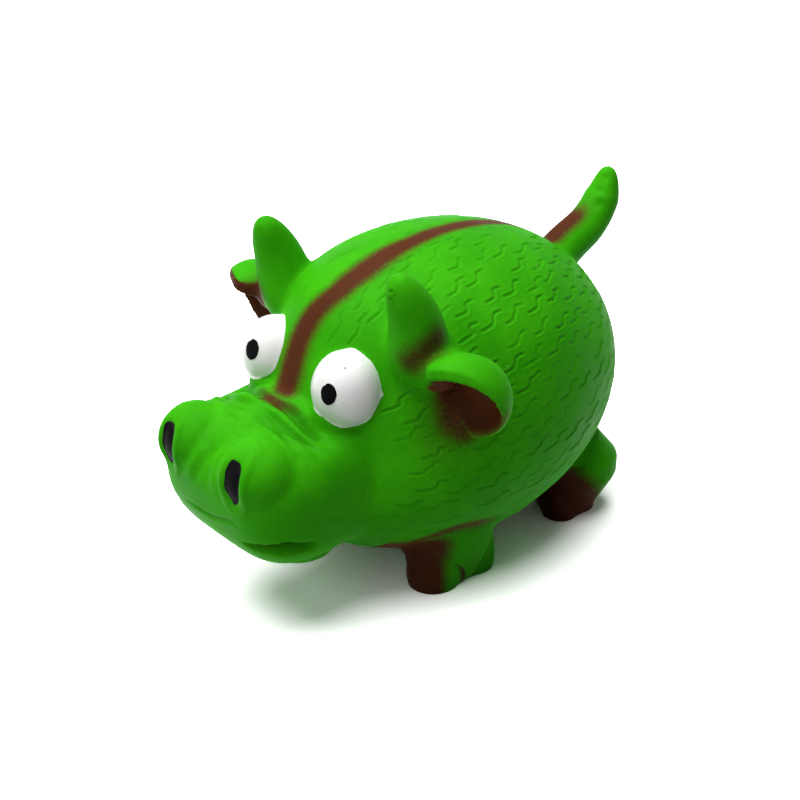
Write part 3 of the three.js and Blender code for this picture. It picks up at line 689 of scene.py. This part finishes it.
# Inside of the ears, and the rim of the right one
facingOut = normals.copy()
facingOut[:, 0] *= np.sign(points[:, 0])
fromEar = mirrored - earRoot
fromEar[:, 2] -= np.where(points[:, 0] > 0, ear["lift"][1], ear["lift"][-1])
earX, earY, earZ = fromEar @ earAlong, fromEar @ earFacing, fromEar @ earUp
headwards = -earX / earHalf[0]
earY = earY + ear["openTurn"] * earX + ear["fallBack"] * smooth(headwards, 0, 0.9)
earZ = earZ / (1 - ear["taper"] * smooth(headwards, 0, 1))
cup = norms((np.stack([earX, earZ], 1) - hollowAt) / hollowHalf)
cup *= 1 - 0.15 * smooth(-earZ / hollowHalf[1], 0, 0.8)
onEar = norms(fromEar) < ear["paintReach"]
inEar = smooth(facingOut @ earFacing, -0.55, 0.1) * (np.abs(earY + 4) < 9) * onEar
inEar *= (y < -30) | (earX > 2)
paint((1 - smooth(cup, 0.78, 1.16)) * inEar, 0.4 - 0.25 * smooth(earX, 0, 10))
rightRim = (points[:, 0] < 0) * smooth(earY, -5.5, -2.5) * onEar * (earX > -9)
paint(0.95 * rightRim * (1 - smooth(normals[:, 2], 0.55, 0.9)), 0.4)

# Spray that missed the ears: amount, centre, reach, softness and darkness
missed = [
    (0.9, (36, -32.2, 60.5), (6.5, 6, 8.5), 0.9, 0.5),
    (0.85, (39.5, -32, 56.5), (5, 5, 5), 0.8, 0.45),
    (0.4, (35, -35, 57.5), (8.5, 8.5, 11), 0.95, 0.6)]
for amount, centre, reach, soft, dark in missed:
    away = norms((mirrored - centre) / reach)
    paint(amount * (1 - smooth(away, 1 - soft, 1 + soft)), dark)


# Amount of paint beside a line, from its full width to where it ends.
def beside(line, full, end, step=0.7):
    dense = denseLine(line, step)[0]
    near = ((mirrored > dense.min(0) - end) & (mirrored < dense.max(0) + end)).all(1).nonzero()[0]
    amount = np.zeros(len(points))
    away = np.linalg.norm(mirrored[near, None] - dense[None], axis=2).min(1)
    amount[near] = 1 - smooth(away, full, end)
    return amount


# Crease under the brow and roots of the horns: amount, line, full width, end and darkness.
# Brown paint; at the roots of the horns its dark tone is also painted shade of the crease.
creases = [
    (0.85, [(0, -64.6, 61.9), (4, -64.6, 61.8), (8.1, -64.1, 61.6), (11.5, -64.1, 60.9)],
        0.6, 3.4, 0.35),
    (0.8, [(31.5, -43.8, 77.2), (32.6, -43.4, 78.4), (34.8, -40.4, 81.6), (34.9, -38, 83.2)],
        0, 8, 0.9)]
for amount, line, full, end, dark in creases:
    paint(amount * beside(line, full, end), dark)

# Front of the hooves, the line under the belly and the clefts
frontHoof = (1 - smooth(z, 17, 24)) * (1 - smooth(y, -33, -25.5))
paint(frontHoof * (x > 6) * (y > -45) * (z < 26), 0.9)
rearHoof = 1 - smooth(y + 0.9 * z, 36, 49)
paint(rearHoof * (y > 12) * (z < 20) * (x > 5), 0.9)
belly = [
    (26, -39, 19.5), (28.6, -37.5, 20.2), (35.1, -28.7, 23.7), (36.2, -14.4, 21.5), (34, -6, 17)]
paint(0.8 * beside(belly, 0.2, 4.6) * (1 - smooth(y, -24, -8)), 0.8)
for name in cleft:
    paint(0.8 * beside(cleft[name], 0.3, 1.6), 0.9)

# Root of the tail, above, and the lips at the front of the mouth
onTail = smooth(y, 38, 42) * (1 - smooth(y, 50, 60)) * (z > 70)
onTail = onTail * smooth(points[:, 0], -8, -5) * (1 - smooth(points[:, 0], 0.5, 6))
paint(onTail * smooth(normals @ [-0.3, -0.5, 0.8], -0.1, 0.6), 0.1)
paint(mouthMask * (1 - smooth(x, 19, 24)) * 0.9, 0.0)
# The skin keeps its brown paint amount and darkness, and its painted shade in grooves, folds and
# hollows.
painted = dict(brownPaint=coat["brown"], brownDark=coat["dark"], paintedShade=np.clip(paintedShadeMask, 0, 1))
for name, values in painted.items():
    layer = whole.attributes.new(name, "FLOAT", "POINT")
    layer.data.foreach_set("value", np.ascontiguousarray(values, float))
print("painted skin")
skinTree = BVHTree.FromPolygons([tuple(p) for p in points],
                                [tuple(p.vertices) for p in whole.polygons])


# Where a line meets the skin, and the skin's normal there.
def onSkin(start, aim, reach=1e4):
    hit, normal, _, _ = skinTree.ray_cast(Vector(start), Vector(aim), reach)
    return hit, normal


# A closed film of paint that follows the skin, in rows of rings.
# Each row has a share of the way out and a height over the skin.
def addFilm(name, sides, rows, place):
    bm = bmesh.new()
    made = addRings(bm, sides, [Matrix.Scale(share, 4) for share, height in rows])
    for k, vert in enumerate(made):
        share, height = rows[k // sides]
        hit, normal = place(share, math.atan2(vert.co.y, vert.co.x))
        vert.co = hit + normal * height
    bmesh.ops.recalc_face_normals(bm, faces=bm.faces)
    return framedObject(name, bm)


def filmRows(thick, rings):
    under = [(share, -0.35) for share in (0.02, 0.35, 0.7, 0.95)]
    rim = [(1.0, -0.2), (1.0, 0.0), (0.992, thick * 0.6), (0.975, thick * 0.95)]
    return under + rim + [(share, thick) for share in np.linspace(0.95, 0.02, rings)]


# Eye whites: thick paint out to the fold round each eyeball, with small runs at the rim
white = dict(
    thick=0.16, turn=27, rise=14, edge=1.025, furthest=1.2, most=1.9, wobble=0.006,
    runs=[(1.5, 0.03, 0.2), (0.0, 0.03, 0.09)], rightRuns=0.6)
eyeAxis = towards(white["turn"], white["rise"])
eyeSide = unit(np.cross([0, 0, 1], eyeAxis))
eyeTop = np.cross(eyeAxis, eyeSide)


# The skin over an eyeball, so many radians from the middle of its white.
# There is nothing where another form covers it.
def overEye(angle, turn, side, edge):
    outward = eyeSide * math.cos(turn) + eyeTop * math.sin(turn)
    aim = onSide(eyeAxis * math.cos(angle) + outward * math.sin(angle), side)
    centre = onSide(eyeCentre, side)
    radius = 1 / np.linalg.norm(aim / eyeHalf)
    hit, normal = onSkin(centre + aim * radius * 1.3, -aim, radius * 0.4)
    if hit is None or np.linalg.norm((np.array(hit) - centre) / eyeHalf) > edge:
        return None
    return hit, normal


# How far the white reaches in each direction round an eyeball.
def eyeRim(side):
    limits = []
    for turn in np.linspace(0, 2 * math.pi, 120, endpoint=False):
        angle = 0.6
        while angle < white["most"] and overEye(angle, turn, side, white["edge"]):
            angle += 0.012
        limits.append(angle)
    limits = np.array(limits)
    for _ in range(12):
        limits = (np.roll(limits, 1) + limits * 2 + np.roll(limits, -1)) / 4
    return np.append(limits, limits[0])


whites = []
for side in bothSides:
    limits = eyeRim(side)
    phases = np.random.default_rng(11 + side).uniform(0, fullTurn, 5)

    def place(share, turn):
        turn = turn % (2 * math.pi)
        limit = np.interp(turn, np.linspace(0, 2 * math.pi, 121), limits)
        wobble = sum(math.sin((k + 5) * turn + phases[k]) for k in range(5))
        limit += white["wobble"] * wobble / 1.6
        for at, high, wide in white["runs"]:
            away = abs((turn - at + math.pi) % (2 * math.pi) - math.pi)
            limit += high * math.exp(-(away / wide) ** 2) * (1 if side > 0 else white["rightRuns"])
        angle = limit * share
        found = overEye(angle, turn, side, white["furthest"])
        while not found:
            angle -= 0.01
            found = overEye(angle, turn, side, white["furthest"])
        return found

    whites.append(addFilm("eye_white_" + sideNames[side], 144, filmRows(white["thick"], 26), place))

# Pupils: black dabs with a notch, each looking its own way
pupil = dict(
    centre={1: (17.9, -59.5, 68.4), -1: (-14.2, -59.6, 69.6)}, halfWidth=2.25, halfTall=2.8,
    thick=0.5, notch=0.12, notchAt=2.2, notchWidth=0.2,
    rim=[(0.02, -0.3), (0.4, -0.3), (0.8, -0.3), (1.0, -0.1), (1.0, 0.18), (0.985, 0.3),
        (0.95, 0.38)])
pupilRows = pupil["rim"] + [(share, pupil["thick"] - 0.1 * share)
                            for share in np.linspace(0.9, 0.02, 12)]
pupils = []
for side in bothSides:
    centre = np.array(pupil["centre"][side])
    outward = unit(centre - onSide(eyeCentre, side))
    across = unit(np.cross([0, 0, 1], outward))
    upright = np.cross(outward, across)

    def place(share, turn):
        away = (turn - pupil["notchAt"]) / pupil["notchWidth"]
        edge = 1 - pupil["notch"] * math.exp(-away ** 2)
        edge = edge + 0.02 * math.sin(3 * turn + 1) + 0.008 * math.sin(7 * turn)
        step = across * (math.cos(turn) * pupil["halfWidth"])
        step = step + upright * (math.sin(turn) * pupil["halfTall"])
        return onSkin(centre + step * share * edge + outward * 8, -outward)

    pupils.append(addFilm("pupil_" + sideNames[side], 72, pupilRows, place))

# Nostril paint on the floor of each recess
nostrils = []
for side in bothSides:
    def place(share, turn):
        upright = math.sin(turn)
        across = math.copysign(float(nostrilHalf(upright)), math.cos(turn))
        edge = 0.95 + 0.02 * math.sin(4 * turn + side) + 0.02 * math.sin(7 * turn + 2)
        x = nostril["x"] + across * nostril["halfWidth"] * share * edge
        z = nostril["z"] + upright * nostril["halfTall"] * share * edge
        return onSkin((x * side, -100, z), (0, 1, 0))

    rows = filmRows(nostril["thick"], 12)
    nostrils.append(addFilm("nostril_" + sideNames[side], 72, rows, place))
print("paint films", len(whites) + len(pupils) + len(nostrils))

# The skin is cut at the mould's parting level, above it behind the head and below it behind the
# front legs. Both sides of a cut have the same normals.
parting = dict(level=47.0, head=-24.0, chest=-6.0)
writePoints(whole, toFrame(points))
normals = readNormals(whole)
layer = whole.attributes.new("wholeNormal", "FLOAT_VECTOR", "POINT")
layer.data.foreach_set("vector", normals.ravel())
middles = readRows(whole.polygons, "center") * 1000
upperFaces = middles[:, 2] > parting["level"]
lengthwise = middles[:, 1] - shiftY * 1000
chestFaces = lengthwise < parting["chest"]
headFaces = lengthwise < parting["head"]


def cutSkin(name, keep):
    bm = bmesh.new()
    bm.from_mesh(whole)
    bm.faces.ensure_lookup_table()
    bmesh.ops.delete(bm, geom=[bm.faces[k] for k in np.flatnonzero(~keep)], context="FACES")
    piece = newObject(name, bm)
    layer = piece.data.attributes["wholeNormal"]
    kept = readRows(layer.data, "vector")
    piece.data.attributes.remove(layer)
    piece.data.normals_split_custom_set_from_vertices(kept)
    print(name, len(piece.data.polygons))
    return piece


headSkin = cutSkin("skin_head", upperFaces & headFaces)
backSkin = cutSkin("skin_back", upperFaces & ~headFaces)
chestSkin = cutSkin("skin_chest", ~upperFaces & chestFaces)
lowerSkin = cutSkin("skin_lower", ~upperFaces & ~chestFaces)

# Fibre filling: a lumpy egg of wadding inside the skin, hollowed over the squeaker
wadding = dict(
    inset=4.0, lump=1.3, pocket=13.5, pocketTop=26.0, pocketEdge=(-1, 4), below=30, ripples=24,
    lengths=(7, 22))
stuffing = bmesh.new()
lumps = np.random.default_rng(5)
ripples = lumps.normal(0, 1, (wadding["ripples"], 3))
lengths = lumps.uniform(*wadding["lengths"], wadding["ripples"])
ripples *= (2 * math.pi / lengths / norms(ripples))[:, None]
phases = lumps.uniform(0, fullTurn, wadding["ripples"])


def waddingSurface(directions):
    p = bodySurface(directions, wadding["inset"])
    swell = np.sin(p @ ripples.T + phases).sum(1) / 4
    p = p - directions * (wadding["lump"] * (1 + np.tanh(swell)))[:, None]
    aside = np.hypot(p[:, 0], p[:, 1] - bodyCentre[1])
    edge = [wadding["pocket"] + wider for wider in wadding["pocketEdge"]]
    floorLevel = wadding["pocketTop"] * (1 - smooth(aside, *edge))
    p[:, 2] = np.where(p[:, 2] < wadding["below"], np.maximum(p[:, 2], floorLevel), p[:, 2])
    return p


addBall(stuffing, 160, 110, waddingSurface)
filling = framedObject("wadding", stuffing)


# Node helpers
def addNode(tree, kind, values=None, **settings):
    node = tree.nodes.new("ShaderNode" + kind)
    for key, value in settings.items():
        setattr(node, key, value)
    for key, value in (values or {}).items():
        if isinstance(value, bpy.types.NodeSocket):
            tree.links.new(value, node.inputs[key])
        else:
            node.inputs[key].default_value = value
    return node


def mathNode(tree, operation, a, b):
    return addNode(tree, "Math", {0: a, 1: b}, operation=operation).outputs[0]


def times(tree, a, b):
    return mathNode(tree, "MULTIPLY", a, b)


def mixColour(tree, factor, a, b):
    return addNode(tree, "Mix", {0: factor, 6: a, 7: b}, data_type="RGBA").outputs[2]


def remap(tree, value, low, high, toLow=0.0, toHigh=1.0, soft=True):
    return addNode(tree, "MapRange", {0: value, 1: low, 2: high, 3: toLow, 4: toHigh},
                   interpolation_type="SMOOTHSTEP" if soft else "LINEAR").outputs[0]


def noise(tree, vector, scale, detail):
    values = {"Vector": vector, "Scale": scale, "Detail": detail}
    return addNode(tree, "TexNoise", values).outputs[0]


def attribute(tree, name):
    return addNode(tree, "Attribute", attribute_name=name).outputs["Fac"]


def newGroup(name, inputs, outputs):
    group = bpy.data.node_groups.new(name, "ShaderNodeTree")
    for socket in inputs:
        kind = "NodeSocketVector" if socket == "Vector" else "NodeSocketFloat"
        group.interface.new_socket(socket, in_out="INPUT", socket_type=kind)
    for socket in outputs:
        group.interface.new_socket(socket, in_out="OUTPUT", socket_type="NodeSocketFloat")
    entry, leave = group.nodes.new("NodeGroupInput"), group.nodes.new("NodeGroupOutput")
    return group, entry.outputs, leave.inputs


# Fine grain of a moulded surface: a height for bump and a slow tone
grain, given, wanted = newGroup("mouldedGrain", ("Vector", "Scale"), ("Height", "Tone"))
fine = noise(grain, given["Vector"], given["Scale"], 3.0)
coarse = noise(grain, given["Vector"], times(grain, given["Scale"], 0.22), 2.0)
slow = noise(grain, given["Vector"], times(grain, given["Scale"], 0.03), 3.0)
height = mathNode(grain, "ADD", fine, times(grain, coarse, 1.6))
grain.links.new(height, wanted["Height"])
tone = mathNode(grain, "ADD", times(grain, slow, 0.75), times(grain, coarse, 0.25))
grain.links.new(remap(grain, tone, 0.35, 0.65), wanted["Tone"])

# Small specks: one dot in some of the cells
specks, given, wanted = newGroup("specks", ("Vector", "Scale", "Size", "Share"), ("Mask",))
cells = addNode(specks, "TexVoronoi", {key: given[key] for key in ("Vector", "Scale")})
lot = addNode(specks, "SeparateColor", {0: cells.outputs["Color"]})
chosen = mathNode(specks, "LESS_THAN", lot.outputs[0], given["Share"])
reach = times(specks, given["Size"], mathNode(specks, "ADD", lot.outputs[1], 0.4))
dot = mathNode(specks, "LESS_THAN", cells.outputs["Distance"], reach)
specks.links.new(times(specks, chosen, dot), wanted["Mask"])


def newMaterial(name, specular, **constants):
    material = bpy.data.materials.new(name)
    material.use_nodes = True
    tree = material.node_tree
    shader = tree.nodes["Principled BSDF"]
    shader.inputs["Specular IOR Level"].default_value = specular
    for socket, value in constants.items():
        shader.inputs[socket.replace("_", " ")].default_value = value
    where = addNode(tree, "TexCoord").outputs["Object"]
    return material, tree, shader, where


def useGroup(tree, group, **values):
    return addNode(tree, "Group", values, node_tree=group).outputs


# Joins a colour, a roughness that follows a tone, and a bump to a shader.
def dress(tree, shader, look, colour, tone, height, span=(0.0, 1.0)):
    tree.links.new(colour, shader.inputs["Base Color"])
    tree.links.new(remap(tree, tone, *span, *look["rough"], False), shader.inputs["Roughness"])
    strength, distance = look["bump"]
    node = addNode(tree, "Bump", {"Height": height, "Strength": strength, "Distance": distance})
    tree.links.new(node.outputs[0], shader.inputs["Normal"])


# A material whose grain gives its colour and its bump; layers() lays more colours over them.
def grained(name, look, layers=None):
    material, tree, shader, where = newMaterial(name, look["specular"])
    surface = useGroup(tree, grain, Vector=where, Scale=look["grain"])
    colour = mixColour(tree, surface["Tone"], look["low"], look["high"])
    if layers:
        colour = layers(tree, where, colour)
    dress(tree, shader, look, colour, surface["Tone"], surface["Height"])
    return material


# Green latex with sprayed brown, pale specks, and painted shade in grooves, folds and hollows
latex = dict(
    specular=0.04, grain=2200.0, low=(0.03, 0.34, 0.0015, 1), high=(0.045, 0.42, 0.003, 1),
    stripe=(0.1, 0.017, 0.008, 1), dark=(0.06, 0.007, 0.006, 1), pale=(0.42, 0.6, 0.25, 1),
    soot=(0.015, 0.006, 0.004, 1), paintedShade=(0.012, 0.06, 0.002, 1), spray=1500.0, rough=(0.5, 0.62),
    bump=(0.22, 0.00012))


def sprayed(tree, where, colour):
    dots = useGroup(tree, specks, Vector=where, Scale=130.0, Size=0.03, Share=0.22)["Mask"]
    colour = mixColour(tree, times(tree, dots, 0.55), colour, latex["pale"])
    spray = noise(tree, where, latex["spray"], 4.0)
    loose = times(tree, mathNode(tree, "SUBTRACT", spray, 0.5), 0.45)
    amount = attribute(tree, "brownPaint")
    painted = remap(tree, mathNode(tree, "ADD", amount, loose), 0.05, 0.95)
    painted = times(tree, painted, remap(tree, amount, 0.0, 0.2))
    tone = mixColour(tree, attribute(tree, "brownDark"), latex["stripe"], latex["dark"])
    tone = mixColour(tree, times(tree, spray, 0.35), tone, latex["soot"])
    colour = mixColour(tree, times(tree, painted, 0.98), colour, tone)
    # Painted shade in grooves, folds and the mouth hollows darkens the colour towards a deep green.
    shade = times(tree, attribute(tree, "paintedShade"), 0.42)
    return mixColour(tree, shade, colour, latex["paintedShade"])


green = grained("sprayed_latex", latex, sprayed)

# White paint with dark specks, and black paint
whiteLook = dict(
    specular=0.3, grain=1300.0, low=(0.88, 0.875, 0.86, 1), high=(0.95, 0.945, 0.935, 1),
    speck=(0.03, 0.03, 0.03, 1), rough=(0.32, 0.42), bump=(0.15, 0.00015))
blackLook = dict(
    specular=0.01, grain=1600.0, low=(0.004, 0.004, 0.005, 1), high=(0.012, 0.012, 0.013, 1),
    rough=(0.4, 0.55), bump=(0.2, 0.0002))


def speckled(tree, where, colour):
    dots = useGroup(tree, specks, Vector=where, Scale=420.0, Size=0.1, Share=0.1)["Mask"]
    return mixColour(tree, dots, colour, whiteLook["speck"])


whitePaint = grained("thick_white_paint", whiteLook, speckled)
blackPaint = grained("dabbed_black_paint", blackLook)


# A material coloured by noise that is drawn out along an axis.
def stranded(name, look):
    material, tree, shader, where = newMaterial(name, look["specular"])
    values = {"Vector": where, "Scale": look["stretch"], "Rotation": look["turn"]}
    drawn = addNode(tree, "Mapping", values).outputs[0]
    strands = noise(tree, drawn, look["strands"], look["detail"])
    colour = mixColour(tree, remap(tree, strands, *look["span"]), look["low"], look["high"])
    return material, tree, shader, where, strands, colour


# Polyester fibre
fibreLook = dict(
    specular=0.2, stretch=(1.0, 7.0, 3.0), turn=(0.5, 0.3, 0.9), strands=420.0, detail=6.0,
    clumps=110.0, span=(0.3, 0.7), low=(0.62, 0.62, 0.6, 1), high=(0.86, 0.86, 0.84, 1),
    rough=(0.75, 0.95), bump=(0.8, 0.0012))
fibre, tree, shader, where, threads, colour = stranded("fibre_wadding", fibreLook)
clumps = noise(tree, where, fibreLook["clumps"], 3.0)
height = mathNode(tree, "ADD", threads, clumps)
dress(tree, shader, fibreLook, colour, clumps, height, fibreLook["span"])

# Squeaker plastic and the reed's film
plasticLook = dict(
    specular=0.45, grain=1500.0, low=(0.66, 0.66, 0.63, 1), high=(0.78, 0.78, 0.75, 1),
    rough=(0.34, 0.48), bump=(0.12, 0.0001))
plastic = grained("moulded_plastic", plasticLook)
filmLook = dict(
    specular=0.5, grain=2600.0, stretch=(14.0, 1.0, 14.0), turn=(0.0, 0.0, 0.0), strands=300.0,
    detail=3.0, span=(0.3, 0.7), low=(0.5, 0.46, 0.33, 1), high=(0.64, 0.6, 0.46, 1),
    rough=(0.22, 0.36), bump=(0.08, 0.00008))
film, tree, shader, where, streaks, colour = stranded("brushed_film", filmLook)
surface = useGroup(tree, grain, Vector=where, Scale=filmLook["grain"])
dress(tree, shader, filmLook, colour, streaks, surface["Height"], filmLook["span"])

finishes = [(piece, green, "green_latex") for piece in (headSkin, backSkin, chestSkin, lowerSkin)]
finishes += [(piece, whitePaint, "white_eye_paint") for piece in whites]
finishes += [(piece, blackPaint, "black_paint") for piece in pupils + nostrils]
finishes += [(filling, fibre, "polyester_fibre")]
for piece, material, slot in finishes:
    piece.data.materials.append(material)
for name in ("squeaker_plug", "reed_holder", "reed_wedge", "squeaker_cap", "reed"):
    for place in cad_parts[name].material_slots:
        place.material = film if name == "reed" else plastic
print("materials", len(bpy.data.materials))

# What each piece stands for and follows
for piece in (headSkin, backSkin, chestSkin, lowerSkin, filling):
    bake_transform(piece)
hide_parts("muzzle", "left_horn", "right_horn", "left_ear", "right_ear")
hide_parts("back_skin", "tail")
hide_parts("lower_lip", "left_front_leg", "right_front_leg")
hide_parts("belly_skin", "left_rear_leg", "right_rear_leg")
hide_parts("fibre_filling")
paintNodes = ("left_eye", "right_eye", "left_pupil", "right_pupil", "left_nostril", "right_nostril")
for piece, node in zip(whites + pupils + nostrils, paintNodes):
    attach(piece, "upper")
    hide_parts(node)


# Rays from the camera, and those mirrored or let through on the way, see a white ground and sky.
def seenRays(tree):
    rays = addNode(tree, "LightPath").outputs
    shiny = mathNode(tree, "MAXIMUM", rays["Is Glossy Ray"], rays["Is Transmission Ray"])
    return mathNode(tree, "MAXIMUM", rays["Is Camera Ray"], shiny)


# Floor, lit white far off, and sky
studio = dict(
    floorSize=20, floor=(0.3, 0.3, 0.3, 1), floorSeen=(2.2, 2.2, 2.2, 1), farOff=(0.35, 0.8),
    sky=0.09, skySeen=1.0)
floorMesh = bmesh.new()
bmesh.ops.create_grid(floorMesh, x_segments=1, y_segments=1, size=studio["floorSize"])
floor = newObject("floor", floorMesh)
paper, tree, shader, where = newMaterial("white_paper", 0, Roughness=1, Emission_Color=(1, 1, 1, 1))
colour = mixColour(tree, seenRays(tree), studio["floor"], studio["floorSeen"])
tree.links.new(colour, shader.inputs["Base Color"])
outward = addNode(tree, "VectorMath", {0: where}, operation="LENGTH").outputs["Value"]
farOff = times(tree, remap(tree, outward, *studio["farOff"]), seenRays(tree))
tree.links.new(farOff, shader.inputs["Emission Strength"])
floor.data.materials.append(paper)
floor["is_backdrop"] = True

world = bpy.data.worlds.new("studio")
scene.world = world
world.use_nodes = True
tree = world.node_tree
sky = tree.nodes["Background"]
values = {0: seenRays(tree), 2: studio["sky"], 3: studio["skySeen"]}
tree.links.new(addNode(tree, "Mix", values).outputs[0], sky.inputs["Strength"])
sky.inputs["Color"].default_value = (1, 1, 1, 1)


# Lamps
def addLamp(name, place, aim, size, power):
    lamp = bpy.data.lights.new(name, "AREA")
    lamp.shape = "DISK"
    lamp.size = size
    lamp.energy = power
    holder = bpy.data.objects.new(name, lamp)
    holder.location = place
    holder.rotation_euler = (Vector(aim) - Vector(place)).to_track_quat("-Z", "Y").to_euler()
    scene.collection.objects.link(holder)


addLamp("key", (-0.18, -0.16, 1.1), (0, 0, 0.05), 1.3, 20)
addLamp("fill", (0.05, -1.15, 0.6), (0, 0, 0.05), 0.8, 2.6)

# Camera, fitted to the photograph
view = dict(
    azimuth=48.331, elevation=27.402, distance=459.0, focal=1495.058, right=14.498, upwards=-34.856,
    pixels=800, sensor=36)
turn, lift = math.radians(view["azimuth"]), math.radians(view["elevation"])
rightward = np.array([math.cos(turn), math.sin(turn), 0])
level = math.cos(lift)
forward = np.array([-math.sin(turn) * level, math.cos(turn) * level, -math.sin(lift)])
upward = np.cross(rightward, forward)
away = rightward * view["right"] + upward * view["upwards"] + forward * view["distance"]
eyePoint = Vector(toFrame(-away)[0])
lens = bpy.data.cameras.new("camera")
lens.sensor_width = view["sensor"]
lens.lens = view["focal"] / view["pixels"] * view["sensor"]
lens.clip_start = 0.01
camera = bpy.data.objects.new("camera", lens)
axes = Matrix((rightward, upward, -forward)).transposed()
camera.matrix_world = Matrix.Translation(eyePoint) @ axes.to_4x4()
scene.collection.objects.link(camera)
scene.camera = camera
scene.view_settings.view_transform = "Standard"

low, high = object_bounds()
